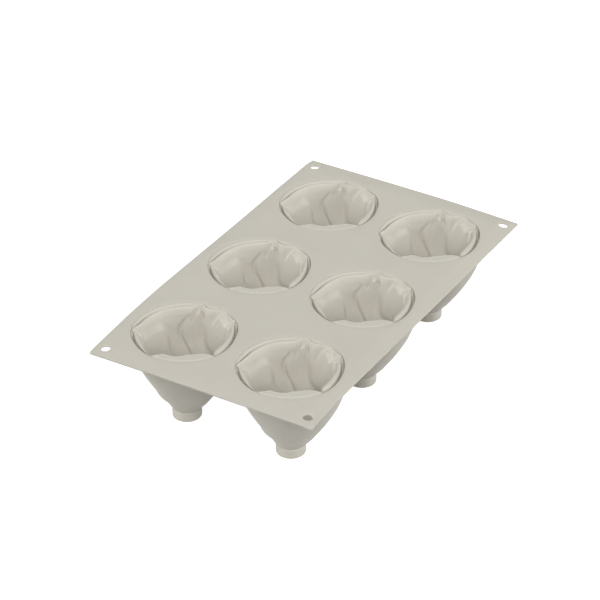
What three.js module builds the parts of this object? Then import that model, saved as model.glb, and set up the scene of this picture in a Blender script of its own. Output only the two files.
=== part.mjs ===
// A silicone cake mould: a thin flat sheet with a field of rose-shaped cups under it, each on a short foot.
// Millimetres, +Z up. The mould stands on z = 0, the origin lies under the sheet's middle and X runs along it.

import * as THREE from "three";

// Cups

const cupsAlong = 3;
const cupsAcross = 2;
const mouthDiameter = 74;
const cavityDepth = 58;
const wall = 2.5;
const wallLeast = 1.7; // what is left behind the deepest fold
const bowlFullness = 1.58; // exponent of the bowl's profile: 1 is a cone, more is fuller under the mouth
const domeDepth = 7; // height of the rounded end of the cavity
const bowlDrift = 1; // how far the bowl's middle lies off the cup's axis
const driftBearing = 301; // the way that it lies, in degrees from X
const bulge = 1.4; // height of the soft bulge low down on the other side
const bulgeDepth = 47.5;
const bulgeHalf = 3; // half the height of the bulge
const bulgeSpread = 60; // half the angle that it covers

// Top sheet

const sheetThickness = 1.5;
const landAlong = 23.5; // flat land between neighbouring mouths, along the sheet
const landAcross = 9.5;
const endMargin = 15.5; // flat land between the last mouths and the sheet's short edges
const sideMargin = 8.75;
const sheetCornerRadius = 2.5;
const hangHoleDiameter = 6.5;
const hangHoleFromEnd = 9.5;
const hangHoleFromSide = 8;

// Foot collars

const footDiameter = 20.6;
const footHeight = 8;
const footWall = 2.4;
const footEdgeRound = 1;

// Lips of the petals round the mouth, anticlockwise from above. Each one runs from its own angle, in degrees,
// to the next one's. reach: how far it stands in from the mouth's edge at a quarter, a half and three quarters
// of its run. shelf: a shelf lies between the mouth's edge and the lip, which otherwise rolls out to a groove.

const rimPetals = [
  { at: 14, reach: [5.8, 7.2, 8.2], shelf: true },
  { at: 117, reach: [7.2, 6.9, 4.8], shelf: false },
  { at: 172, reach: [7.4, 8.3, 9.1], shelf: false },
  { at: 246, reach: [7.1, 7, 5.9], shelf: false },
  { at: 322, reach: [1.9, 2.4, 1.9], shelf: false },
  { at: 342, reach: [2.6, 4.6, 4.7], shelf: true },
];
const tipReach = 0.8; // reach where two lips meet
const crestDrop = 0.4; // crest of a lip below the sheet's top face
const crestWidth = 0.8; // crest to the lip's inner edge
const lipDrop = 1.4; // inner edge of a lip below the sheet's top face
const lipFoot = 1.6; // thickness of a lip beside a shelf, at its foot
const lipRun = 9; // depth over which the lips run together into whole petals
const petalEvening = 8; // step in degrees by which their reach is then evened out
const petalLean = 22.5; // turn of the petals from the mouth down to foldDepth, in degrees
const draft = 0.04; // how much a petal's wall closes in per mm of depth
const wallBlend = 5; // softness of the change from a petal's wall to the bowl
const petalStand = 0.8; // how far the petals stand in from the bowl's wall on the whole
const grooveDepth = 3.6;
const grooveRound = 1; // from the mouth's edge in to the bottom of the groove
const grooveWidth = 1.2;
const endShares = { crest: 0.3, foot: 0.6, roll: 0.4, groove: 0.2 }; // limits near a lip's ends, shares of reach

// Side edges of the petals that lap over one another down the wall: angles at the mouth, at foldDepth and
// below it, the side that lies back (1 for greater angles) and the depth at which the edge starts.

const wallFolds = [
  { top: 14, middle: 36.5, low: 20, side: 1, start: 0 },
  { top: 62, middle: 54, low: 44, side: -1, start: 7 },
  { top: 117, middle: 139, low: 122, side: 1, start: 0 },
  { top: 172, middle: 194, low: 178, side: 1, start: 0 },
  { top: 216, middle: 208, low: 197, side: -1, start: 7 },
  { top: 246, middle: 267, low: 251, side: 1, start: 0 },
  { top: 292, middle: 284, low: 273, side: -1, start: 7 },
];
const foldDepth = 26;
const foldTail = 14; // further depth over which an edge swings back
const foldStep = 1.5; // half the height of an overlap
const foldWidth = 2.6;
const foldStart = 9; // depth over which an overlap grows to its full height
const backRun = 8; // distances over which an edge dies away on the side that lies back and on the other one
const frontRun = 6;

// Petals with a free end inside the cup: angles of the side edge at the mouth and low down, angle of the middle
// of the end, and the depth of the end there.

const freePetals = [
  { top: 13, low: 3, middle: -14, end: 29 },
  { top: 170, low: 160, middle: 142, end: 47 },
  { top: 244, low: 235, middle: 214, end: 44 },
  { top: 319, low: 309, middle: 290, end: 40 },
];
const freeStep = 1.9;
const freeStart = 5;
const freeSpread = 36; // half the angle that a free petal covers
const freeRise = 0.012; // rise of the free end away from its middle, in mm for a square degree

// Facets

const petalFacetDegrees = 8; // widest facet of a cup, measured round its axis
const mouthFacets = 48;
const footFacets = 24;
const cornerFacets = 5; // half the facets of a rounded corner, and a quarter of a hang hole's
const outsideRows = [0.2, 0.45, 0.67, 0.785, 0.87]; // shares of the cup's depth
const insideRows = [0.13, 0.26, 0.39, 0.52, 0.66, 0.79]; // shares of the cavity's depth
const domeRows = [0, 0.75]; // shares of the rounded end

// Derived sizes

const mouthRadius = mouthDiameter / 2;
const footRadius = footDiameter / 2;
const cupDepth = cavityDepth + wall;
const topHeight = footHeight + cupDepth;
const pitchAlong = mouthDiameter + landAlong;
const pitchAcross = mouthDiameter + landAcross;
const sheetLength = cupsAlong * mouthDiameter + (cupsAlong - 1) * landAlong + 2 * endMargin;
const sheetWidth = cupsAcross * mouthDiameter + (cupsAcross - 1) * landAcross + 2 * sideMargin;

const smooth = (x) => THREE.MathUtils.smoothstep(x, 0, 1);
const mix = THREE.MathUtils.lerp;

// The smaller of two numbers, with a soft change from one to the other
function softMin(a, b, blend) {
  const share = Math.max(blend - Math.abs(a - b), 0) / blend;
  return Math.min(a, b) - (share ** 3 * blend) / 6;
}

// Outer radius of the plain bowl at a depth below the sheet's top face, and its slope
function bowlRadius(depth) {
  return mouthRadius + wall - (mouthRadius + wall - footRadius) * (depth / cupDepth) ** bowlFullness;
}

function bowlSlope(depth) {
  const steepest = ((mouthRadius + wall - footRadius) * bowlFullness) / cupDepth;
  return steepest * (depth / cupDepth) ** (bowlFullness - 1);
}

// Signed turn from one angle to another, in degrees
const turnBetween = (from, to) => THREE.MathUtils.euclideanModulo(to - from + 180, 360) - 180;

// The lip at an angle in degrees: its reach in from the mouth's edge, and whether a shelf lies behind it
function lipAt(angle) {
  const turned = THREE.MathUtils.euclideanModulo(angle - rimPetals[0].at + 1e-6, 360) + rimPetals[0].at;
  const index = rimPetals.findLastIndex((petal) => petal.at <= turned);
  const { at, reach: [early, middle, late], shelf } = rimPetals[index];
  const span = (rimPetals[index + 1]?.at ?? rimPetals[0].at + 360) - at;
  const along = THREE.MathUtils.clamp((2 * (turned - at)) / span - 1, -1, 1);
  const outline = middle + (late - early) * along + 2 * (early + late - 2 * middle) * along ** 2;
  return { reach: mix(tipReach, Math.max(outline, tipReach), 1 - along ** 6), shelf };
}

// How far a petal stands in below the lips, where its outline is the lips' own, evened out
function petalReach(angle) {
  const around = [-2, -1, 0, 1, 2].map((step) => lipAt(angle + step * petalEvening).reach);
  return around.reduce((sum, reach) => sum + reach) / around.length;
}

// A soft step from -1 to 1 across an edge, which dies away on both sides
function softEdge(distance, positiveRun, negativeRun) {
  const steep = (2 * distance) / foldWidth;
  const run = distance > 0 ? positiveRun : negativeRun;
  return (steep / Math.hypot(1, steep)) * Math.exp(-Math.abs(distance) / run);
}

// How far the overlapping petals push the wall out, or draw it in where this is negative
function petalRelief(angle, depth) {
  const arc = THREE.MathUtils.degToRad(1) * bowlRadius(depth);
  let relief = 0;
  for (const { top, middle, low, side, start } of wallFolds) {
    const upper = mix(top, middle, smooth(depth / foldDepth));
    const edge = upper + (low - middle) * smooth((depth - foldDepth) / foldTail);
    const back = side * turnBetween(edge, angle) * arc;
    relief += foldStep * softEdge(back, backRun, frontRun) * smooth((depth - start) / foldStart);
  }
  for (const { top, low, middle, end } of freePetals) {
    const edge = mix(top, low, smooth((depth - freeStart) / (end - freeStart)));
    const aside = turnBetween(middle, angle);
    const inside = Math.min(turnBetween(angle, edge) * arc, end - freeRise * aside ** 2 - depth);
    const share = 1 - smooth(Math.abs(aside) / freeSpread - 1);
    relief -= freeStep * share * softEdge(inside, backRun, frontRun) * smooth((depth - freeStart) / foldStart);
  }
  return relief * (1 - smooth((depth - cavityDepth + 2 * domeDepth) / (2 * domeDepth)));
}

// One half section of a cup at an angle, as [radius, height] from the cavity's bottom, over the rim, to the foot
function cupSection(angle) {
  const { reach, shelf } = lipAt(angle);
  const lipEdge = mouthRadius - reach;
  const grooveEdge = mouthRadius - Math.min(grooveRound, endShares.groove * reach);
  const lipBase = shelf
    ? lipEdge + Math.min(lipFoot, endShares.foot * reach)
    : Math.max(grooveEdge - grooveWidth, lipEdge + endShares.roll * reach);
  const groove = mix(sheetThickness, grooveDepth, smooth((reach - tipReach) / grooveDepth));
  const point = (radius, depth) => [radius, topHeight - depth];
  const outside = (depth) => {
    const aside = turnBetween(driftBearing, angle);
    const drift = bowlDrift * Math.cos(THREE.MathUtils.degToRad(aside)) * smooth(depth / foldDepth);
    const across = Math.max(0, 1 - ((180 - Math.abs(aside)) / bulgeSpread) ** 2);
    return bowlRadius(depth) + drift + bulge * across * Math.exp(-(((depth - bulgeDepth) / bulgeHalf) ** 2));
  };
  const inside = (depth) => {
    const down = smooth((depth - lipDrop) / lipRun);
    const lower = petalReach(angle - petalLean * smooth(depth / foldDepth));
    const petal = mouthRadius - mix(reach, lower, down) - draft * (depth - lipDrop);
    const aslant = Math.hypot(1, bowlSlope(depth));
    const plain = bowlRadius(depth) - wall * aslant - petalStand;
    const folded = softMin(petal, plain, wallBlend) + petalRelief(angle, depth);
    return mix(petal, softMin(folded, outside(depth) - wallLeast * aslant, wallLeast), down);
  };
  const domeTop = cavityDepth - domeDepth;
  const dome = domeRows.map((share) => {
    return point(inside(domeTop) * Math.sqrt(1 - share ** 2), domeTop + share * domeDepth);
  });
  const wallRows = insideRows.map((share) => point(inside(share * cavityDepth), share * cavityDepth));
  return [
    point(0, cavityDepth),
    ...dome.reverse(),
    ...wallRows.reverse(),
    point(lipEdge, lipDrop),
    point(lipEdge + Math.min(crestWidth, endShares.crest * reach), crestDrop),
    point(lipBase, groove),
    point(grooveEdge, shelf ? sheetThickness : groove),
    point(mouthRadius, sheetThickness),
    point(mouthRadius + wall, sheetThickness),
    ...outsideRows.map((share) => point(outside(share * cupDepth), share * cupDepth)),
    point(footRadius, cupDepth),
    point(0, cupDepth),
  ];
}

// Closed skin through half sections that all start and end on the axis
function skinOf(angles, sectionAt) {
  const sections = angles.map(sectionAt);
  const rows = sections[0].length - 2;
  const positions = [];
  sections.forEach((section, i) => {
    const turn = THREE.MathUtils.degToRad(angles[i]);
    for (const [radius, height] of section.slice(1, -1)) {
      positions.push(radius * Math.cos(turn), radius * Math.sin(turn), height);
    }
  });
  const firstPole = positions.length / 3;
  positions.push(0, 0, sections[0][0][1]);
  const lastPole = firstPole + 1;
  positions.push(0, 0, sections[0].at(-1)[1]);
  const faces = [];
  for (let i = 0; i < angles.length; i++) {
    const here = i * rows;
    const next = ((i + 1) % angles.length) * rows;
    faces.push(firstPole, here, next);
    for (let row = 0; row < rows - 1; row++) {
      faces.push(here + row, here + row + 1, next + row);
      faces.push(next + row, here + row + 1, next + row + 1);
    }
    faces.push(here + rows - 1, lastPole, next + rows - 1);
  }
  const geometry = new THREE.BufferGeometry();
  geometry.setAttribute("position", new THREE.Float32BufferAttribute(positions, 3));
  geometry.setIndex(faces);
  geometry.computeVertexNormals();
  return geometry;
}

// Facet angles of a cup: every meeting point of two petals is one of them
function petalAngles() {
  return rimPetals.flatMap((petal, index) => {
    const span = (rimPetals[index + 1]?.at ?? rimPetals[0].at + 360) - petal.at;
    const steps = Math.max(2, Math.ceil(span / petalFacetDegrees));
    return Array.from({ length: steps }, (_, step) => petal.at + (span * step) / steps);
  });
}

// A plain ring with a rounded outer edge on the floor, from the floor to the cup's flat underside
function footGeometry() {
  const bore = footRadius - footWall;
  const round = Math.min(footEdgeRound, 0.45 * footWall);
  const cut = round * (1 - Math.SQRT1_2);
  const profile = [
    [bore, footHeight],
    [bore, 0],
    [footRadius - round, 0],
    [footRadius - cut, cut],
    [footRadius, round],
    [footRadius, footHeight],
    [bore, footHeight],
  ].map(([radius, height]) => new THREE.Vector2(radius, height));
  return new THREE.LatheGeometry(profile, footFacets).rotateX(Math.PI / 2);
}

// The sheet: a rectangle with round corners, one round mouth over each cup and a hang hole in each corner
function sheetGeometry() {
  const x = sheetLength / 2;
  const y = sheetWidth / 2;
  const r = sheetCornerRadius;
  const outline = new THREE.Shape();
  outline.absarc(x - r, y - r, r, 0, Math.PI / 2);
  outline.absarc(r - x, y - r, r, Math.PI / 2, Math.PI);
  outline.absarc(r - x, r - y, r, Math.PI, Math.PI * 1.5);
  outline.absarc(x - r, r - y, r, Math.PI * 1.5, Math.PI * 2);
  for (const { x: cupX, y: cupY } of cupPlaces()) {
    const round = Array.from({ length: mouthFacets }, (_, i) => {
      const turn = (-2 * Math.PI * i) / mouthFacets;
      return new THREE.Vector2(cupX + mouthRadius * Math.cos(turn), cupY + mouthRadius * Math.sin(turn));
    });
    outline.holes.push(new THREE.Path(round));
  }
  for (const [signX, signY] of [[1, 1], [-1, 1], [-1, -1], [1, -1]]) {
    const hole = new THREE.Path();
    const holeX = signX * (x - hangHoleFromEnd);
    const holeY = signY * (y - hangHoleFromSide);
    hole.absarc(holeX, holeY, hangHoleDiameter / 2, 0, 2 * Math.PI, true);
    outline.holes.push(hole);
  }
  return new THREE.ExtrudeGeometry(outline, {
    depth: sheetThickness,
    bevelEnabled: false,
    curveSegments: cornerFacets,
  });
}

// Cup axes, row by row from the corner at -X -Y
function cupPlaces() {
  const places = [];
  for (let across = 0; across < cupsAcross; across++) {
    for (let along = 0; along < cupsAlong; along++) {
      places.push({
        x: (along - (cupsAlong - 1) / 2) * pitchAlong,
        y: (across - (cupsAcross - 1) / 2) * pitchAcross,
      });
    }
  }
  return places;
}

// Warm grey food-grade silicone with a satin skin
const silicone = () => new THREE.MeshStandardMaterial({ color: 0xc7c3b8, roughness: 0.55, metalness: 0 });

function piece(name, geometry) {
  const mesh = new THREE.Mesh(geometry, silicone());
  mesh.name = name;
  return mesh;
}

const mould = new THREE.Group();
mould.name = "cake_mould";

const sheet = piece("top_sheet", sheetGeometry());
sheet.position.z = topHeight - sheetThickness;
mould.add(sheet);

const cupGeometry = skinOf(petalAngles(), cupSection);
const collarGeometry = footGeometry();
cupPlaces().forEach((place, index) => {
  const pocket = new THREE.Group();
  pocket.position.set(place.x, place.y, 0);
  pocket.add(piece(`rose_cup_${index + 1}`, cupGeometry));
  pocket.add(piece(`foot_collar_${index + 1}`, collarGeometry));
  mould.add(pocket);
});

export default mould;
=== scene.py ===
# A silicone cake mould: a thin flat sheet with rose-shaped cups under it, each on a short round foot.
# Metres, in the frame of the solids: X along the sheet, Y across it, Z up, and the feet stand on z = 0.

import math

import bpy
import numpy as np
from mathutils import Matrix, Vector, geometry


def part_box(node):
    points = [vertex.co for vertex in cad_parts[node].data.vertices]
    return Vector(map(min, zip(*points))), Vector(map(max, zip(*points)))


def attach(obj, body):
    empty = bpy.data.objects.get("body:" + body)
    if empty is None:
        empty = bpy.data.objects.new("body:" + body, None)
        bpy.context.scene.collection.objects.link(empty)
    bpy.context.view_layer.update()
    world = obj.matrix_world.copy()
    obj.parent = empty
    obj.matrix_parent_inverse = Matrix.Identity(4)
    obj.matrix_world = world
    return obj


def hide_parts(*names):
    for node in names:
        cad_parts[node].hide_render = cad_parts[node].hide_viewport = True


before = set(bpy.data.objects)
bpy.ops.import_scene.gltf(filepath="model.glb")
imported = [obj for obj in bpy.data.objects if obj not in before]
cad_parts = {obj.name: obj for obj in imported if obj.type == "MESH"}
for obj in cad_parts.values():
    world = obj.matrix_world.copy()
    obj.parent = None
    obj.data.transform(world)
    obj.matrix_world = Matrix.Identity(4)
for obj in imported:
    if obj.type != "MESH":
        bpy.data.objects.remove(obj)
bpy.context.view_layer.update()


# Top sheet
# The flat web that ties the cups together, in one shot of satin silicone with them. Every mouth has a fine
# round edge and each corner a hole to hang the mould by. The slack sheet sags at its edges, and three of
# its corners have crept out of line.

MM = 0.001  # sizes are in mm and angles in degrees, and the places of the finished points in metres
sheet_low, sheet_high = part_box("top_sheet")
sheet_top = sheet_high.z / MM
sheet_under = sheet_low.z / MM
half_length = sheet_high.x / MM
half_width = sheet_high.y / MM
cup_count = 6
cup_centres = []
for number in range(1, cup_count + 1):
    ring_low, ring_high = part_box(f"foot_collar_{number}")
    cup_centres.append(((ring_low.x + ring_high.x) / 2 / MM, (ring_low.y + ring_high.y) / 2 / MM))

mouth_radius = 37.0
mouth_edge_round = 0.2
mouth_undercut = 0.02
mouth_insets = (  # middle angle, half span, how far in the sheet comes
    (284.0, 40.0, 1.6),
    (146.0, 30.0, 0.6),
)
sheet_edge_round = 0.12
sheet_edge_undercut = 0.5
edge_face_row = 0.1  # share of the edge's face above its one row of points
corner_radius = 0.9
hang_hole_radius = 3.4
hang_hole_round = 0.3
hang_hole_from_end = 9.5
hang_hole_from_side = 8.0
sheet_crease = 50.0

mouth_steps = 180
hang_hole_steps = 40
hole_round_steps = 3
edge_round_steps = 5
corner_steps = 8
edge_step = 3.0
lattice_step = 4.0
lattice_row_share = 0.866
lattice_clearance = 2.2
merge_distance = 1e-6
hole_slip = 0.01  # a facet of a hole may cut its circle by this much

taut_rim = 1.5  # this far round a mouth the cup holds the sheet in place
slack_run = 9.0
edge_reach = 13.0
edge_droops = ((1, 0, 1.34), (-1, 0, 0.6), (0, 1, 0.35), (0, -1, 1.34))  # side, how far its edge hangs
edge_skew = 0.6
pull_fade = 1.6
corner_pulls = (  # corner, how far its tip has crept, how far along the edges this reaches
    ((-1, 1), (0.0, -3.7, -0.7), (95.0, 58.0)),
    ((1, -1), (-3.6, 0.0, 0.0), (58.0, 70.0)),
    ((-1, -1), (0.0, -1.8, -0.2), (45.0, 60.0)),
)
ripple_height = 0.25
ripple_sink = 0.1
ripple_along = 41.0
ripple_across = 33.0
ripple_slant = 90.0
ripple_start = 0.8


def smooth_step(value):
    clipped = np.clip(value, 0.0, 1.0)
    return clipped * clipped * (3.0 - 2.0 * clipped)


def mouth_inset(bearing):
    """How far the sheet comes in over a mouth at a bearing round it."""
    total = 0.0
    for middle, span, inset in mouth_insets:
        aside = ((bearing - middle + 180.0) % 360.0 - 180.0) / span
        total = total + inset * np.maximum(0.0, 1.0 - aside * aside) ** 2
    return total


def round_hole(centre_x, centre_y, radius, steps):
    """Points round a hole, clockwise from above, and the rays that lead to them."""
    turn = -np.linspace(0.0, 2.0 * math.pi, steps, endpoint=False)
    ray = np.stack([np.cos(turn), np.sin(turn)], axis=1)
    return np.array([centre_x, centre_y]) + radius * ray, ray


def sheet_outline():
    """Points round the sheet, anticlockwise from above, and the way out of the sheet at each."""
    points, outward = [], []
    corners = [(1, 1, 0.0), (-1, 1, 0.5), (-1, -1, 1.0), (1, -1, 1.5)]
    for index, (side_x, side_y, start) in enumerate(corners):
        middle = np.array([side_x * (half_length - corner_radius), side_y * (half_width - corner_radius)])
        for step in range(corner_steps + 1):
            turn = math.pi * (start + 0.5 * step / corner_steps)
            ray = np.array([math.cos(turn), math.sin(turn)])
            points.append(middle + corner_radius * ray)
            outward.append(ray)
        next_x, next_y, _ = corners[(index + 1) % len(corners)]
        goal = np.array([next_x * (half_length - corner_radius), next_y * (half_width - corner_radius)])
        goal = goal + corner_radius * ray
        begin = points[-1]
        steps = int(np.linalg.norm(goal - begin) / edge_step)
        for step in range(1, steps):
            points.append(begin + (goal - begin) * step / steps)
            outward.append(ray)
    return np.array(points), np.array(outward)


def sheet_loops():
    """Each edge of the sheet: points, way out, rounding above, undercut below, whether that is round."""
    loops = [(*sheet_outline(), sheet_edge_round, sheet_edge_undercut, False)]
    for centre_x, centre_y in cup_centres:
        points, ray = round_hole(centre_x, centre_y, mouth_radius, mouth_steps)
        bearing = np.degrees(np.arctan2(ray[:, 1], ray[:, 0]))
        points = points - ray * mouth_inset(bearing)[:, None]
        loops.append((points, -ray, mouth_edge_round, mouth_undercut, False))
    for side_x, side_y in ((1, 1), (-1, 1), (-1, -1), (1, -1)):
        hole_x = side_x * (half_length - hang_hole_from_end)
        hole_y = side_y * (half_width - hang_hole_from_side)
        points, ray = round_hole(hole_x, hole_y, hang_hole_radius, hang_hole_steps)
        loops.append((points, -ray, hang_hole_round, hang_hole_round, True))
    return loops


def lattice_points(rim):
    """Points all over the sheet, in staggered rows, clear of the points of its edges."""
    points = []
    rows = int(2 * half_width / (lattice_step * lattice_row_share))
    columns = int(2 * half_length / lattice_step)
    for row in range(rows):
        y = -half_width + (row + 0.5) * 2 * half_width / rows
        stagger = 0.25 + 0.5 * (row % 2)
        for column in range(columns):
            x = -half_length + (column + stagger) * 2 * half_length / columns
            if np.min(np.hypot(rim[:, 0] - x, rim[:, 1] - y)) > lattice_clearance:
                points.append((x, y))
    return points


def in_sheet(x, y):
    """Whether a point inside the outline is clear of the mouths and the hang holes."""
    for centre_x, centre_y in cup_centres:
        bearing = math.degrees(math.atan2(y - centre_y, x - centre_x))
        edge = mouth_radius + mouth_edge_round - mouth_inset(bearing)
        if math.hypot(x - centre_x, y - centre_y) < edge - hole_slip:
            return False
    hole_x = abs(x) - (half_length - hang_hole_from_end)
    hole_y = abs(y) - (half_width - hang_hole_from_side)
    return math.hypot(hole_x, hole_y) > hang_hole_radius + hang_hole_round - hole_slip


def edge_profile(top_round, under_round, round_below):
    """Steps down an edge of the sheet: how far in from its outermost line, and the height."""
    steps = []
    for step in range(1, edge_round_steps + 1):
        turn = 0.5 * math.pi * step / edge_round_steps
        steps.append((top_round * (1.0 - math.sin(turn)), sheet_top - top_round * (1.0 - math.cos(turn))))
    if round_below:
        for step in range(hole_round_steps):
            turn = 0.5 * math.pi * step / hole_round_steps
            inward = under_round * (1.0 - math.cos(turn))
            steps.append((inward, sheet_under + under_round * (1.0 - math.sin(turn))))
    else:
        face_top = sheet_top - top_round
        steps.append((edge_face_row * under_round, face_top - edge_face_row * (face_top - sheet_under)))
    return steps


def sheet_slack(points):
    """Moves points of the flat sheet to where the soft one lies: in place at the mouths, slack elsewhere."""
    moved = points.copy()
    nearest = np.full(len(points), np.inf)
    for centre_x, centre_y in cup_centres:
        nearest = np.minimum(nearest, np.hypot(points[:, 0] - centre_x, points[:, 1] - centre_y))
    free = smooth_step((nearest - mouth_radius - taut_rim) / slack_run)
    from_edge = np.minimum(half_length - np.abs(points[:, 0]), half_width - np.abs(points[:, 1]))
    border = free * smooth_step(1.0 - from_edge / edge_reach)
    moved[:, 1] -= border * edge_skew * points[:, 0] / half_length
    droop = np.zeros(len(points))
    for side_x, side_y, hang in edge_droops:
        from_side = abs(side_x) * half_length + abs(side_y) * half_width - points[:, :2] @ (side_x, side_y)
        droop = np.maximum(droop, hang * smooth_step(1.0 - from_side / edge_reach))
    moved[:, 2] -= free * droop
    for (side_x, side_y), pull, (reach_x, reach_y) in corner_pulls:
        along_x = np.clip(1.0 - (half_length - side_x * points[:, 0]) / reach_x, 0.0, 1.0)
        along_y = np.clip(1.0 - (half_width - side_y * points[:, 1]) / reach_y, 0.0, 1.0)
        share = free * (along_x * along_y) ** pull_fade
        moved += share[:, None] * np.array(pull)
    wave = np.sin(points[:, 0] / ripple_along + ripple_start)
    wave = wave * np.cos(points[:, 1] / ripple_across + points[:, 0] / ripple_slant)
    moved[:, 2] += free * (ripple_height * wave - ripple_sink)
    return moved


def make_sheet_mesh():
    loops = sheet_loops()
    flat = [points - outward * top_round for points, outward, top_round, _, _ in loops]
    edges, first = [], 0
    for loop in flat:
        edges += [(first + i, first + (i + 1) % len(loop)) for i in range(len(loop))]
        first += len(loop)
    rim = np.concatenate(flat)
    seeds = [Vector(point) for point in (*rim, *lattice_points(rim))]
    verts, _, faces, origins, _, _ = geometry.delaunay_2d_cdt(seeds, edges, [], 0, merge_distance)
    plan = np.array([(vert.x, vert.y) for vert in verts])
    kept = []
    for face in faces:
        if in_sheet(*plan[list(face)].mean(axis=0)):
            a, b, c = (plan[i] for i in face)
            turn = (b[0] - a[0]) * (c[1] - a[1]) - (b[1] - a[1]) * (c[0] - a[0])
            kept.append(tuple(face) if turn > 0 else tuple(reversed(face)))

    count = len(plan)
    where = {origin[0]: index for index, origin in enumerate(origins)}
    top = np.column_stack([plan, np.full(count, sheet_top)])
    under = np.column_stack([plan, np.full(count, sheet_under)])
    solid_faces = list(kept) + [tuple(count + i for i in reversed(face)) for face in kept]
    solid_points = [top, under]
    total = 2 * count
    first = 0
    for points, outward, top_round, under_round, round_below in loops:
        size = len(points)
        index = np.array([where[first + i] for i in range(size)])
        under[index, :2] = points - outward * under_round
        rows = [index]
        for inward, height in edge_profile(top_round, under_round, round_below):
            solid_points.append(np.column_stack([points - outward * inward, np.full(size, height)]))
            rows.append(np.arange(total, total + size))
            total += size
        rows.append(count + index)
        for upper, lower in zip(rows, rows[1:]):
            for i in range(size):
                j = (i + 1) % size
                solid_faces.append((int(upper[i]), int(lower[i]), int(lower[j]), int(upper[j])))
        first += size
    places = sheet_slack(np.concatenate(solid_points)) * MM
    mesh = bpy.data.meshes.new("moulded_sheet")
    mesh.from_pydata(places.tolist(), [], solid_faces)
    mesh.update()
    mesh.shade_smooth()
    mesh.set_sharp_from_angle(angle=math.radians(sheet_crease))
    return mesh


def make_silicone():
    """Warm light grey food-grade silicone: satin, softly clouded, with the fine grain of a blasted tool."""
    darker_cloud = (0.563, 0.538, 0.472, 1.0)
    lighter_cloud = (0.579, 0.555, 0.487, 1.0)
    silicone = bpy.data.materials.new("satin_silicone")
    silicone.use_nodes = True
    nodes, links = silicone.node_tree.nodes, silicone.node_tree.links
    shader = nodes["Principled BSDF"]
    shader.inputs["IOR"].default_value = 1.42
    shader.inputs["Specular IOR Level"].default_value = 0.4
    shader.inputs["Subsurface Weight"].default_value = 0.15
    shader.inputs["Subsurface Radius"].default_value = (1.0, 0.94, 0.86)
    shader.inputs["Subsurface Scale"].default_value = 1.2 * MM
    place = nodes.new("ShaderNodeTexCoord")

    clouds = nodes.new("ShaderNodeTexNoise")
    clouds.inputs["Scale"].default_value = 34.0
    clouds.inputs["Detail"].default_value = 4.0
    links.new(place.outputs["Object"], clouds.inputs["Vector"])
    tone = nodes.new("ShaderNodeValToRGB")
    tone.color_ramp.elements[0].position = 0.3
    tone.color_ramp.elements[0].color = darker_cloud
    tone.color_ramp.elements[1].position = 0.7
    tone.color_ramp.elements[1].color = lighter_cloud
    links.new(clouds.outputs["Fac"], tone.inputs["Fac"])
    links.new(tone.outputs["Color"], shader.inputs["Base Color"])

    handling = nodes.new("ShaderNodeTexNoise")
    handling.inputs["Scale"].default_value = 90.0
    handling.inputs["Detail"].default_value = 3.0
    links.new(place.outputs["Object"], handling.inputs["Vector"])
    gloss = nodes.new("ShaderNodeMapRange")
    gloss.inputs["To Min"].default_value = 0.46
    gloss.inputs["To Max"].default_value = 0.62
    links.new(handling.outputs["Fac"], gloss.inputs["Value"])
    links.new(gloss.outputs["Result"], shader.inputs["Roughness"])

    grain = nodes.new("ShaderNodeTexNoise")
    grain.inputs["Scale"].default_value = 1800.0
    grain.inputs["Detail"].default_value = 2.0
    links.new(place.outputs["Object"], grain.inputs["Vector"])
    blasted = nodes.new("ShaderNodeBump")
    blasted.inputs["Strength"].default_value = 0.12
    blasted.inputs["Distance"].default_value = 0.2 * MM
    links.new(grain.outputs["Fac"], blasted.inputs["Height"])
    links.new(blasted.outputs["Normal"], shader.inputs["Normal"])
    return silicone


satin_silicone = make_silicone()
moulded_sheet = bpy.data.objects.new("moulded_sheet", make_sheet_mesh())
bpy.context.scene.collection.objects.link(moulded_sheet)
moulded_sheet.data.materials.append(satin_silicone)
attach(moulded_sheet, "root")
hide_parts("top_sheet")


# Rose cups
# Each cup is a thin silicone shell that hangs from the sheet and gives the cake its petals. Lips stand
# round the mouth, most with a groove behind them, and the wall below is folded where one petal laps over
# the next. Angles run round the mouth from X, and depths go down from the sheet's top face.

wall = 2.5
collar_low, collar_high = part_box("foot_collar_1")
foot_radius = (collar_high.x - collar_low.x) / 2 / MM
foot_height = collar_high.z / MM
cavity_depth = sheet_top - foot_height - wall
rim_start = 14.0  # angle of the first meeting point of two lips
longest_lip = 10.0
lip_outline = [  # angle, how far the lip reaches in from the mouth's edge
    (14, 0.6), (18, 1.6), (23, 4.4), (28, 5.8), (45, 6.2), (61, 6.0), (72, 6.3), (93, 6.2),
    (102, 5.4), (109, 4.1), (113, 2.6), (117, 0.8), (122, 4.1), (129, 5.4), (140, 5.8),
    (151, 4.8), (163, 3.0), (172, 0.8), (177, 3.6), (181, 6.0), (186, 7.7), (196, 7.1),
    (208, 8.2), (218, 9.4), (229, 9.0), (239, 6.8), (246, 0.8), (249, 3.8), (258, 6.7),
    (276, 7.4), (294, 6.5), (309, 5.6), (317, 3.2), (322, 0.8), (331, 2.4), (337, 1.8),
    (342, 0.6), (348, 2.0), (354, 3.8), (361, 5.1), (367, 4.5), (371, 2.4), (374, 0.6),
]
lip_meetings = (14, 117, 172, 246, 322, 342, 374)
petal_outline = [  # the same a little way down, where the lips have run together into one wall
    (14, 7.2), (45, 8.4), (80, 8.6), (105, 8.0), (117, 7.4), (140, 8.2), (172, 7.6), (205, 9.0),
    (230, 9.0), (246, 8.0), (276, 8.8), (305, 8.0), (322, 6.4), (342, 6.0), (360, 6.6), (374, 7.2),
]
notch_reach = 0.6  # a lip that reaches no further is a notch
full_reach = 4.5  # a lip that reaches this far has its full drop
groove_reach = 4.0  # and one that reaches this far has its full groove
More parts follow.
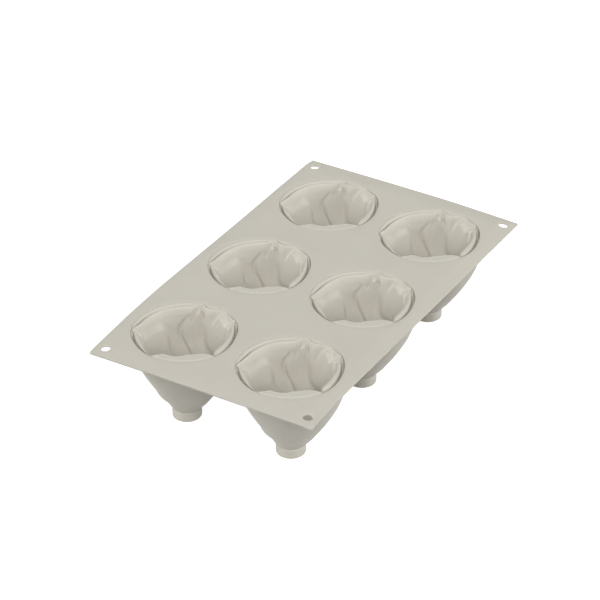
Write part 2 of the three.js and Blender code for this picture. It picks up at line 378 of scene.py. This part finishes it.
short_lip_curb = 0.2  # shares of a short lip's reach, where the full sizes would be too large for it
short_lip_groove = 0.7
short_lip_foot = 0.6
short_lip_crest = 0.3
short_lip_round = 0.3
lip_merge = 1.8  # depth over which the lips run together, in lip drops
petal_blend = 5.0
petal_growth = 8.0

petal_folds = [  # angles at the mouth, at the turn and low down; depth of the turn; side that lies back;
    # height; softness; valley; how far it runs on either side; depth at which it starts
    (14, 39, 22, 18, 1, 1.2, 2.4, 1.2, 6.0, 5.0, 9.0),
    (75, 58, 40, 26, -1, 1.5, 2.4, 0.4, 10.0, 6.0, 4.0),
    (117, 144.5, 125, 15, 1, 0.7, 1.6, 0.4, 7.0, 5.0, 2.0),
    (172, 199.5, 180, 15, 1, 1.5, 1.6, 0.4, 7.0, 5.0, 2.0),
    (216, 208, 197, 26, -1, 1.4, 1.6, 0.4, 10.0, 5.0, 7.0),
    (246, 273.5, 254, 15, 1, 1.2, 1.6, 0.4, 7.0, 5.0, 2.0),
    (292, 284, 273, 26, -1, 1.0, 1.6, 0.4, 10.0, 5.0, 7.0),
]
fold_end = 42.0  # depth at which a fold has swung to its low angle
fold_growth = 9.0
fold_fade = (38.0, 52.0)  # depths between which the folds die away
valley_growth = (0.5, 5.0)
valley_shift = 0.6
valley_width = 2.2  # in fold widths

petal_lobes = [  # angles of the side edge at the mouth and low down; middle angle; depth of the end;
    # how fast the end rises on either side of the middle; height
    (6, 1, -16, 30.5, 0.010, 1.1),
    (170, 160, 142, 47.0, 0.012, 0.3),
    (244, 235, 214, 44.0, 0.012, 1.6),
    (319, 309, 290, 40.0, 0.012, 0.5),
]
lobe_start = 4.0
lobe_growth = (5.0, 22.0)
lobe_corner = 6.0
lobe_fade = (30.0, 48.0)  # angles from the middle between which a lobe dies away
lobe_edge_width = 4.0  # in fold widths
lobe_runs = (9.0, 7.0)
lobe_trough_width = 3.0  # in fold widths
lobe_trough_shift = 0.9
lobe_trough_share = 0.45

bud_sides = 3.0
bud_twist = 0.2
bud_height = 0.7
bud_growth = (40.0, 48.0)
bud_fade = (52.0, 58.0)
relief_fade = (50.0, 58.0)

outer_growth = (4.0, 28.0)  # depths under the sheet between which the outside's own form sets in
outer_close = 53.0  # depth from which it runs out again towards the foot
outer_fold_width = 3.4
outer_fold_share = 0.2
fillet_depth = 2.6
fillet_fullness = 2.2
swell_span = 60.0
swell_reach = 3.0
swell_close = 57.0

cup_columns = 288
outer_rows = 64
floor_share = 0.1  # share of the outer rows that close the floor
rim_rows = 60
flange_end = 0.06  # shares of the rim's rows, from under the sheet to the inside of the lips
bend_end = 0.24
level_end = 0.46
climb_end = 0.76
inner_rows = 110
far_begin = (0.845, 0.87)  # shares of a turn from rim_start, where a side of the mouth sets in or ends
far_end = (0.272, 0.292)
near_begin = (0.43, 0.448)
near_end = (0.636, 0.653)
side_curb = 1.0
far_curb = 0.2
slot_share = 0.84  # share of the groove's width at which it has its full depth
slot_steepness = 6.0
bead_steepness = 8.0
side_steepness = 4.0
near_steepness = 12.0


class Field:
    """A number that varies over a Geometry Nodes mesh, so that the rule of a shape reads as arithmetic."""

    def __init__(self, tree, socket):
        self.tree = tree
        self.socket = socket

    def node(self, kind, values, **settings):
        made = self.tree.nodes.new(kind)
        for name, value in settings.items():
            setattr(made, name, value)
        for slot, value in zip(made.inputs, values):
            if isinstance(value, Field):
                self.tree.links.new(value.socket, slot)
            else:
                slot.default_value = value
        return Field(self.tree, made.outputs[0])

    def math(self, operation, *others):
        return self.node("ShaderNodeMath", (self, *others), operation=operation)

    def __add__(self, other):
        return self.math("ADD", other)

    def __sub__(self, other):
        return self.math("SUBTRACT", other)

    def __mul__(self, other):
        return self.math("MULTIPLY", other)

    def __truediv__(self, other):
        return self.math("DIVIDE", other)

    def __pow__(self, other):
        return self.math("POWER", other)

    def __neg__(self):
        return self.math("MULTIPLY", -1.0)

    def __rmul__(self, other):
        return self * other

    def __rsub__(self, other):
        return -self + other

    def ramp(self, low, high, smooth=True):
        """0 below low, 1 above high."""
        kind = "SMOOTHSTEP" if smooth else "LINEAR"
        return self.node("ShaderNodeMapRange", (self, low, high, 0.0, 1.0), interpolation_type=kind)

    def mixed(self, first, second):
        """The first where this is 0, the second where it is 1."""
        return (second - first) * self + first

    def bell(self):
        """1 at 0, falling to nothing on either side."""
        return (-(self * self)).math("EXPONENT")

    def past(self, angle):
        """How far round the mouth this angle lies past another one, from -180 to 180."""
        return (self - angle).math("WRAP", 180.0, -180.0)

    def curve(self, points, scale, corners):
        """A line through points, smooth but for its corners; scale is the largest value that it holds."""
        made = self.node("ShaderNodeFloatCurve", (1.0, self))
        mapping = made.socket.node.mapping
        line = mapping.curves[0]
        for _ in range(len(points) - 2):
            line.points.new(0.5, 0.5)
        for point, (x, y) in zip(line.points, points):
            point.location = (x, y / scale)
            point.handle_type = "VECTOR" if x in corners else "AUTO_CLAMPED"
        mapping.update()
        return made * scale


def tree_with_inputs(name, inputs, result=("Geometry", "NodeSocketGeometry")):
    tree = bpy.data.node_groups.new(name, "GeometryNodeTree")
    tree.interface.new_socket(name=result[0], in_out="OUTPUT", socket_type=result[1])
    for label, kind, value in inputs:
        socket = tree.interface.new_socket(name=label, in_out="INPUT", socket_type=kind)
        if value is not None:
            socket.default_value = value
    entry = tree.nodes.new("NodeGroupInput")
    return tree, {label: Field(tree, entry.outputs[label]) for label, _, _ in inputs}


def soft_edge(distance, width, run_in, run_out):
    """-1 to 1 across an edge, dying away over its run on either side."""
    steep = distance / width
    shape = steep * (steep * steep + 1.0).math("INVERSE_SQRT")
    run = distance.math("MAXIMUM", 0.0) / run_in + (-distance).math("MAXIMUM", 0.0) / run_out
    return shape * (-run).math("EXPONENT")


def make_relief_tree():
    """How far the lapping petals push a cup's wall out, at an angle and a depth."""
    tree, given = tree_with_inputs("petal_relief", [
        ("Angle", "NodeSocketFloat", None),
        ("Depth", "NodeSocketFloat", None),
        ("Radius", "NodeSocketFloat", None),
        ("Fold Width", "NodeSocketFloat", None),
    ], ("Relief", "NodeSocketFloat"))
    angle, depth, radius, width = given["Angle"], given["Depth"], given["Radius"], given["Fold Width"]
    total = None
    for top, half, low, turn, side, height, soft, valley, left_run, right_run, start in petal_folds:
        swung = (depth.ramp(0.0, turn, smooth=False) * (0.5 * math.pi)).math("SINE")
        edge = swung * (half - top) + depth.ramp(turn, fold_end) * (low - half) + top
        across = angle.past(edge) * math.radians(1.0) * radius
        step = soft_edge(across, width * soft, left_run, right_run)
        part = step * depth.ramp(start, start + fold_growth) * (side * height)
        trough = (across - side * valley_shift) / (width * valley_width)
        part = part + trough.bell() * depth.ramp(*valley_growth) * valley
        total = part if total is None else total + part
    total = total * (1.0 - depth.ramp(*fold_fade))
    for top, low, middle, reach, rise, height in petal_lobes:
        edge = depth.ramp(lobe_start, reach) * (low - top) + top
        inward = edge.past(angle) * math.radians(1.0) * radius
        off_middle = angle.past(middle)
        upward = reach - off_middle * off_middle * rise - depth
        distance = inward.math("SMOOTH_MIN", upward, lobe_corner)
        near = 1.0 - off_middle.math("ABSOLUTE").ramp(*lobe_fade)
        part = soft_edge(distance, width * lobe_edge_width, *lobe_runs) * height
        trough = distance / (width * lobe_trough_width) + lobe_trough_shift
        part = part - trough.bell() * (lobe_trough_share * height)
        total = total - part * near * depth.ramp(*lobe_growth)
    swirl = (angle * math.radians(bud_sides) + depth * bud_twist).math("SINE")
    bud = swirl * depth.ramp(*bud_growth) * (1.0 - depth.ramp(*bud_fade)) * bud_height
    leave = tree.nodes.new("NodeGroupOutput")
    tree.links.new((total * (1.0 - depth.ramp(*relief_fade)) + bud).socket, leave.inputs["Relief"])
    return tree


def make_cup_tree(relief_tree):
    tree, sizes = tree_with_inputs("rose_cup", [
        ("Centre", "NodeSocketVector", None),
        ("Mouth Radius", "NodeSocketFloat", mouth_radius),
        ("Foot Radius", "NodeSocketFloat", foot_radius),
        ("Cavity Depth", "NodeSocketFloat", cavity_depth),
        ("Wall", "NodeSocketFloat", wall),
        ("Sheet Thickness", "NodeSocketFloat", sheet_top - sheet_under),
        ("Fullness", "NodeSocketFloat", 1.58),
        ("Drift", "NodeSocketFloat", 1.0),
        ("Drift Bearing", "NodeSocketFloat", 301.0),
        ("Swell", "NodeSocketFloat", 1.4),
        ("Swell Depth", "NodeSocketFloat", 47.5),
        ("Dome Depth", "NodeSocketFloat", 7.0),
        ("Groove Depth", "NodeSocketFloat", 4.2),
        ("Near Groove Depth", "NodeSocketFloat", 0.6),
        ("Groove Width", "NodeSocketFloat", 1.0),
        ("Shelf Drop", "NodeSocketFloat", 0.12),
        ("Lip Foot", "NodeSocketFloat", 2.0),
        ("Lip Crest", "NodeSocketFloat", 0.8),
        ("Lip Round", "NodeSocketFloat", 2.0),
        ("Crest Drop", "NodeSocketFloat", 0.25),
        ("Near Bead", "NodeSocketFloat", 0.2),
        ("Lip Drop", "NodeSocketFloat", 5.0),
        ("Notch Drop", "NodeSocketFloat", 1.2),
        ("Draft", "NodeSocketFloat", 0.16),
        ("Fold Width", "NodeSocketFloat", 0.9),
        ("Petal Height", "NodeSocketFloat", 1.0),
        ("Petal Stand", "NodeSocketFloat", 0.8),
        ("Least Wall", "NodeSocketFloat", 1.7),
        ("Flange Fillet", "NodeSocketFloat", 1.6),
        ("Silicone", "NodeSocketMaterial", None),
    ])
    mouth, foot, cavity = sizes["Mouth Radius"], sizes["Foot Radius"], sizes["Cavity Depth"]
    thickness, under, fullness = sizes["Wall"], sizes["Sheet Thickness"], sizes["Fullness"]
    depth_all = cavity + thickness
    belly = mouth + thickness - foot

    def strip(columns, rows):
        """A flat grid, with the share of the way round and of the way along at each of its points."""
        grid = tree.nodes.new("GeometryNodeMeshGrid")
        grid.inputs["Size X"].default_value = 1.0
        grid.inputs["Size Y"].default_value = 1.0
        grid.inputs["Vertices X"].default_value = columns + 1
        grid.inputs["Vertices Y"].default_value = rows + 1
        spot = tree.nodes.new("GeometryNodeInputPosition")
        split = tree.nodes.new("ShaderNodeSeparateXYZ")
        tree.links.new(spot.outputs[0], split.inputs[0])
        around = Field(tree, split.outputs["X"]) + 0.5
        along = Field(tree, split.outputs["Y"]) + 0.5
        return grid.outputs["Mesh"], around, along

    def bowl(depth):
        return mouth + thickness - belly * (depth / depth_all) ** fullness

    def bowl_slope(depth):
        return belly * fullness / depth_all * (depth / depth_all) ** (fullness - 1.0)

    def relief(angle, depth, soften):
        given = (angle, depth, bowl(depth), sizes["Fold Width"] * soften)
        return angle.node("GeometryNodeGroup", given, node_tree=relief_tree) * sizes["Petal Height"]

    def outside(angle, depth):
        below = depth - under
        grown = below.ramp(*outer_growth)
        closing = 1.0 - depth.ramp(outer_close, depth_all)
        fillet = (1.0 - below.ramp(0.0, fillet_depth, smooth=False)) ** fillet_fullness
        bearing = angle - sizes["Drift Bearing"]
        drift = (bearing * math.radians(1.0)).math("COSINE") * sizes["Drift"]
        aside = (bearing + 180.0).math("WRAP", 180.0, -180.0) / swell_span
        belt = (depth - sizes["Swell Depth"]) / swell_reach
        swell = (1.0 - aside * aside).math("MAXIMUM", 0.0) * belt.bell() * sizes["Swell"]
        swell = swell * (1.0 - depth.ramp(swell_close, depth_all))
        folded = relief(angle, depth, outer_fold_width) * outer_fold_share
        plain = bowl(depth) + fillet * sizes["Flange Fillet"]
        return plain + (drift + folded) * grown * closing + swell

    def reach_in(around, outline, corners):
        share = [((degrees - rim_start) / 360.0, reach) for degrees, reach in outline]
        return around.curve(share, longest_lip, [(degrees - rim_start) / 360.0 for degrees in corners])

    def at_most(lip, share, size):
        """A size on a lip, which on a short lip is a share of its reach."""
        return (lip * share).math("MINIMUM", size)

    def rounded_in(lip):
        return lip + at_most(lip, short_lip_round, sizes["Lip Round"])

    def lip_drop(lip):
        return lip.ramp(notch_reach, full_reach).mixed(sizes["Notch Drop"], sizes["Lip Drop"])

    def inside(angle, around, depth):
        lip = reach_in(around, lip_outline, lip_meetings)
        below = depth - lip_drop(lip)
        merged = (below / lip_drop(lip)).ramp(0.0, lip_merge)
        lip = merged.mixed(rounded_in(lip), reach_in(around, petal_outline, ()))
        petal = mouth - lip - below * sizes["Draft"]
        aslant = (bowl_slope(depth) ** 2.0 + 1.0).math("SQRT")
        plain = bowl(depth) - thickness * aslant - sizes["Petal Stand"]
        folded = petal.math("SMOOTH_MIN", plain, petal_blend) + relief(angle, depth, 1.0)
        least = sizes["Least Wall"]
        folded = folded.math("SMOOTH_MIN", outside(angle, depth) - least * aslant, least)
        shaped = below.ramp(0.0, petal_growth).mixed(petal, folded)
        dome = ((depth - cavity) / sizes["Dome Depth"] + 1.0).math("MAXIMUM", 0.0)
        return shaped * (1.0 - dome * dome).math("MAXIMUM", 0.0).math("SQRT")

    def set_places(mesh, angle, radius, depth):
        turn = angle * math.radians(1.0)
        height = sheet_top - depth
        polar = (radius * turn.math("COSINE"), radius * turn.math("SINE"), height)
        spot = radius.node("ShaderNodeCombineXYZ", polar)
        scaled = tree.nodes.new("ShaderNodeVectorMath")
        scaled.operation = "MULTIPLY_ADD"
        tree.links.new(spot.socket, scaled.inputs[0])
        scaled.inputs[1].default_value = (MM, MM, MM)
        tree.links.new(sizes["Centre"].socket, scaled.inputs[2])
        placed = tree.nodes.new("GeometryNodeSetPosition")
        tree.links.new(mesh, placed.inputs["Geometry"])
        tree.links.new(scaled.outputs[0], placed.inputs["Position"])
        return placed.outputs["Geometry"]

    # Outside of the shell, from the middle of its floor up to the sheet
    mesh, around, along = strip(cup_columns, outer_rows)
    angle = around * 360.0 + rim_start
    spread = along.ramp(0.0, floor_share, smooth=False)
    depth = depth_all - (depth_all - under) * along.ramp(floor_share, 1.0, smooth=False)
    skin = [set_places(mesh, angle, outside(angle, depth) * spread, depth)]

    # Rim: under the sheet to the mouth, down into the groove or along the shelf, up to a lip and over it
    mesh, around, along = strip(cup_columns, rim_rows)
    angle = around * 360.0 + rim_start
    lip = reach_in(around, lip_outline, lip_meetings)
    flange = along.ramp(0.0, flange_end, smooth=False)
    bend = along.ramp(flange_end, bend_end, smooth=False) * (0.5 * math.pi)
    level = along.ramp(bend_end, level_end, smooth=False)
    climb = along.ramp(level_end, climb_end, smooth=False)
    lean = along.ramp(climb_end, 1.0, smooth=False)
    far_side = around.ramp(*far_begin) + 1.0 - around.ramp(*far_end)
    near_side = around.ramp(*near_begin) * (1.0 - around.ramp(*near_end))
    cut = lip.ramp(notch_reach, groove_reach)
    groove = near_side.mixed(sizes["Groove Depth"], sizes["Near Groove Depth"])
    side_bottom = (groove - under) * cut + under
    far_bottom = (sizes["Groove Depth"] - sizes["Shelf Drop"]) * cut + sizes["Shelf Drop"]
    edge_bottom = far_side.mixed(side_bottom, sizes["Shelf Drop"])
    bottom = far_side.mixed(side_bottom, far_bottom)
    shelf = None
    for middle, span, inset in mouth_insets:
        aside = angle.past(middle) / span
        part = (1.0 - aside * aside).math("MAXIMUM", 0.0) ** 2.0 * inset
        shelf = part if shelf is None else shelf + part
    curb = shelf + at_most(lip, short_lip_curb, far_side.mixed(side_curb, far_curb))
    narrow = (curb + sizes["Groove Width"]).math("MINIMUM", lip * short_lip_groove)
    lip_foot = far_side.mixed(narrow, lip - at_most(lip, short_lip_foot, sizes["Lip Foot"]))
    crest = lip - at_most(lip, short_lip_crest, sizes["Lip Crest"])
    inset = (flange - 1.0) * (bowl(under) + sizes["Flange Fillet"] - mouth) + flange * shelf
    inset = inset + (curb - shelf) * (1.0 - bend.math("COSINE")) + (lip_foot - curb) * level
    inset = inset + (crest - lip_foot) * climb + (rounded_in(lip) - crest) * lean
    slot = (level / slot_share).math("MINIMUM", 1.0) ** slot_steepness
    depth = under + (edge_bottom - under) * bend.math("SINE") + (bottom - edge_bottom) * slot
    bead = near_side * sizes["Near Bead"] * (climb ** bead_steepness - lean)
    risen = 1.0 - (1.0 - climb) ** near_side.mixed(side_steepness, near_steepness)
    depth = depth + (sizes["Crest Drop"] - bottom) * risen - bead
    depth = depth + (lip_drop(lip) - sizes["Crest Drop"]) * lean * lean
    skin.append(set_places(mesh, angle, mouth - inset, depth))

    # Cavity, from the lips down to the middle of its floor
    mesh, around, along = strip(cup_columns, inner_rows)
    angle = around * 360.0 + rim_start
    drop = lip_drop(reach_in(around, lip_outline, lip_meetings))
    depth = drop + (cavity - drop) * (along * (0.5 * math.pi)).math("SINE")
    skin.append(set_places(mesh, angle, inside(angle, around, depth), depth))

    join = tree.nodes.new("GeometryNodeJoinGeometry")
    for part in reversed(skin):
        tree.links.new(part, join.inputs[0])
    weld = tree.nodes.new("GeometryNodeMergeByDistance")
    weld.inputs["Distance"].default_value = 0.003 * MM
    tree.links.new(join.outputs[0], weld.inputs["Geometry"])
    soft = tree.nodes.new("GeometryNodeSetShadeSmooth")
    tree.links.new(weld.outputs[0], soft.inputs["Geometry"])
    realize = tree.nodes.new("GeometryNodeRealizeInstances")
    tree.links.new(soft.outputs[0], realize.inputs[0])
    finish = tree.nodes.new("GeometryNodeSetMaterial")
    tree.links.new(realize.outputs[0], finish.inputs["Geometry"])
    tree.links.new(sizes["Silicone"].socket, finish.inputs["Material"])
    leave = tree.nodes.new("NodeGroupOutput")
    tree.links.new(finish.outputs[0], leave.inputs["Geometry"])
    return tree


def grown_piece(name, tree, values):
    """A plain mesh object from a Geometry Nodes tree, with the tree's inputs set by their sockets."""
    crease = 60.0
    grown = bpy.data.objects.new(name, bpy.data.meshes.new(name))
    bpy.context.scene.collection.objects.link(grown)
    modifier = grown.modifiers.new("shape", "NODES")
    modifier.node_group = tree
    for item in tree.interface.items_tree:
        if item.in_out == "INPUT" and item.name in values:
            modifier[item.identifier] = values[item.name]
    depsgraph = bpy.context.evaluated_depsgraph_get()
    mesh = bpy.data.meshes.new_from_object(grown.evaluated_get(depsgraph), depsgraph=depsgraph)
    grown.modifiers.remove(modifier)
    empty = grown.data
    grown.data = mesh
    bpy.data.meshes.remove(empty)
    mesh.name = name
    mesh.set_sharp_from_angle(angle=math.radians(crease))
    return grown


cup_tree = make_cup_tree(make_relief_tree())
for number, (centre_x, centre_y) in enumerate(cup_centres, start=1):
    cup = grown_piece(f"moulded_cup_{number}", cup_tree, {
        "Centre": (centre_x * MM, centre_y * MM, 0.0),
        "Silicone": satin_silicone,
    })
    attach(cup, "root")
    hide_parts(f"rose_cup_{number}")


# Foot collars
# A short round ring of the same silicone under each cup, open below, with rounded edges.
# The mould stands on these rings, so that the pointed cups can't tip it.

collar_wall = 2.4
collar_edge_round = 1.1


def make_collar_tree():
    tree, sizes = tree_with_inputs("foot_collar", [
        ("Centre", "NodeSocketVector", None),
        ("Radius", "NodeSocketFloat", foot_radius * MM),
        ("Wall", "NodeSocketFloat", collar_wall * MM),
        ("Height", "NodeSocketFloat", foot_height * MM),
        ("Edge Round", "NodeSocketFloat", collar_edge_round * MM),
        ("Silicone", "NodeSocketMaterial", None),
    ])
    path = tree.nodes.new("GeometryNodeCurvePrimitiveCircle")
    path.inputs["Resolution"].default_value = 96
    tree.links.new((sizes["Radius"] - sizes["Wall"] * 0.5).socket, path.inputs["Radius"])
    section = tree.nodes.new("GeometryNodeCurvePrimitiveQuadrilateral")
    tree.links.new(sizes["Wall"].socket, section.inputs["Width"])
    tree.links.new(sizes["Height"].socket, section.inputs["Height"])
    rounded = tree.nodes.new("GeometryNodeFilletCurve")
    rounded.mode = "POLY"
    rounded.inputs["Count"].default_value = 6
    tree.links.new(section.outputs[0], rounded.inputs["Curve"])
    tree.links.new(sizes["Edge Round"].socket, rounded.inputs["Radius"])
    sweep = tree.nodes.new("GeometryNodeCurveToMesh")
    tree.links.new(path.outputs[0], sweep.inputs["Curve"])
    tree.links.new(rounded.outputs[0], sweep.inputs["Profile Curve"])
    lift = sizes["Height"].node("ShaderNodeCombineXYZ", (0.0, 0.0, sizes["Height"] * 0.5))
    place = tree.nodes.new("ShaderNodeVectorMath")
    tree.links.new(lift.socket, place.inputs[0])
    tree.links.new(sizes["Centre"].socket, place.inputs[1])
    move = tree.nodes.new("GeometryNodeTransform")
    tree.links.new(sweep.outputs[0], move.inputs["Geometry"])
    tree.links.new(place.outputs[0], move.inputs["Translation"])
    soft = tree.nodes.new("GeometryNodeSetShadeSmooth")
    tree.links.new(move.outputs[0], soft.inputs["Geometry"])
    realize = tree.nodes.new("GeometryNodeRealizeInstances")
    tree.links.new(soft.outputs[0], realize.inputs[0])
    finish = tree.nodes.new("GeometryNodeSetMaterial")
    tree.links.new(realize.outputs[0], finish.inputs["Geometry"])
    tree.links.new(sizes["Silicone"].socket, finish.inputs["Material"])
    leave = tree.nodes.new("NodeGroupOutput")
    tree.links.new(finish.outputs[0], leave.inputs["Geometry"])
    return tree


collar_tree = make_collar_tree()
for number, (centre_x, centre_y) in enumerate(cup_centres, start=1):
    collar = grown_piece(f"moulded_collar_{number}", collar_tree, {
        "Centre": (centre_x * MM, centre_y * MM, 0.0),
        "Silicone": satin_silicone,
    })
    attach(collar, "root")
    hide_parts(f"foot_collar_{number}")


# Studio
# A plain white table that runs out of sight, three wide soft lamps and a pale sky, in metres and watts.
# The camera stands where the photograph was taken from, with a long lens.

table_reach = 6.0
table_corners = [(side_x * table_reach, side_y * table_reach, 0.0)
                 for side_x, side_y in ((-1, -1), (1, -1), (1, 1), (-1, 1))]
table_mesh = bpy.data.meshes.new("table")
table_mesh.from_pydata(table_corners, [], [(0, 1, 2, 3)])
table = bpy.data.objects.new("table", table_mesh)
bpy.context.scene.collection.objects.link(table)


def seen_directly(nodes, links):
    """1 for rays that come from the camera, or to it by way of a shiny or clear surface."""
    path = nodes.new("ShaderNodeLightPath")
    total = path.outputs["Is Camera Ray"]
    for name in ("Is Glossy Ray", "Is Transmission Ray"):
        both = nodes.new("ShaderNodeMath")
        both.operation = "MAXIMUM"
        links.new(total, both.inputs[0])
        links.new(path.outputs[name], both.inputs[1])
        total = both.outputs[0]
    return total


def make_table_white():
    """A white card to the eye, that keeps a soft shadow and throws back only part of the light."""
    white = bpy.data.materials.new("table_white")
    white.use_nodes = True
    nodes, links = white.node_tree.nodes, white.node_tree.links
    nodes.remove(nodes["Principled BSDF"])
    thrown = nodes.new("ShaderNodeBsdfDiffuse")
    thrown.inputs["Color"].default_value = (0.50, 0.50, 0.50, 1.0)
    card = nodes.new("ShaderNodeBsdfDiffuse")
    card.inputs["Color"].default_value = (0.55, 0.55, 0.55, 1.0)
    glow = nodes.new("ShaderNodeEmission")
    glow.inputs["Strength"].default_value = 0.84
    seen = nodes.new("ShaderNodeAddShader")
    links.new(card.outputs[0], seen.inputs[0])
    links.new(glow.outputs[0], seen.inputs[1])
    choice = nodes.new("ShaderNodeMixShader")
    links.new(seen_directly(nodes, links), choice.inputs[0])
    links.new(thrown.outputs[0], choice.inputs[1])
    links.new(seen.outputs[0], choice.inputs[2])
    links.new(choice.outputs[0], nodes["Material Output"].inputs["Surface"])
    return white


table_mesh.materials.append(make_table_white())

sky = bpy.data.worlds.new("studio_sky")
sky.use_nodes = True
sky_nodes, sky_links = sky.node_tree.nodes, sky.node_tree.links
sky_strength = sky_nodes.new("ShaderNodeMapRange")
sky_strength.inputs["To Min"].default_value = 0.05
sky_strength.inputs["To Max"].default_value = 1.0
sky_links.new(seen_directly(sky_nodes, sky_links), sky_strength.inputs["Value"])
sky_links.new(sky_strength.outputs["Result"], sky_nodes["Background"].inputs["Strength"])
sky_nodes["Background"].inputs["Color"].default_value = (1.0, 1.0, 1.0, 1.0)
bpy.context.scene.world = sky

lamp_target = Vector((0.0, 0.0, 0.05))


def soft_lamp(name, bearing, height, distance, size, power):
    """A wide soft box aimed at the mould: bearing round it from X and height above it, in degrees."""
    lamp = bpy.data.lights.new(name, "AREA")
    lamp.shape = "RECTANGLE"
    lamp.size, lamp.size_y = size
    lamp.energy = power
    turn, rise = math.radians(bearing), math.radians(height)
    ray = Vector((math.cos(turn) * math.cos(rise), math.sin(turn) * math.cos(rise), math.sin(rise)))
    holder = bpy.data.objects.new(name, lamp)
    holder.location = ray * distance + lamp_target
    holder.rotation_euler = (-ray).to_track_quat("-Z", "Y").to_euler()
    bpy.context.scene.collection.objects.link(holder)


soft_lamp("front_lamp", 211.0, 43.0, 24.0, (15.6, 13.2), 4640.0)
soft_lamp("left_lamp", 122.0, 24.0, 4.0, (2.6, 2.2), 78.0)
soft_lamp("right_lamp", 300.0, 25.0, 4.0, (2.6, 2.2), 88.0)

camera = bpy.data.cameras.new("camera")
camera.sensor_width = 36.0
camera.lens = 155.576
viewer = bpy.data.objects.new("camera", camera)
viewer.location = (-1.31683, -0.77200, 0.97034 + sheet_top * MM)
target = Vector((-0.02386, -0.00520, sheet_top * MM))
viewer.rotation_euler = (target - viewer.location).to_track_quat("-Z", "Y").to_euler()
bpy.context.scene.collection.objects.link(viewer)
bpy.context.scene.camera = viewer
bpy.context.scene.view_settings.view_transform = "Standard"
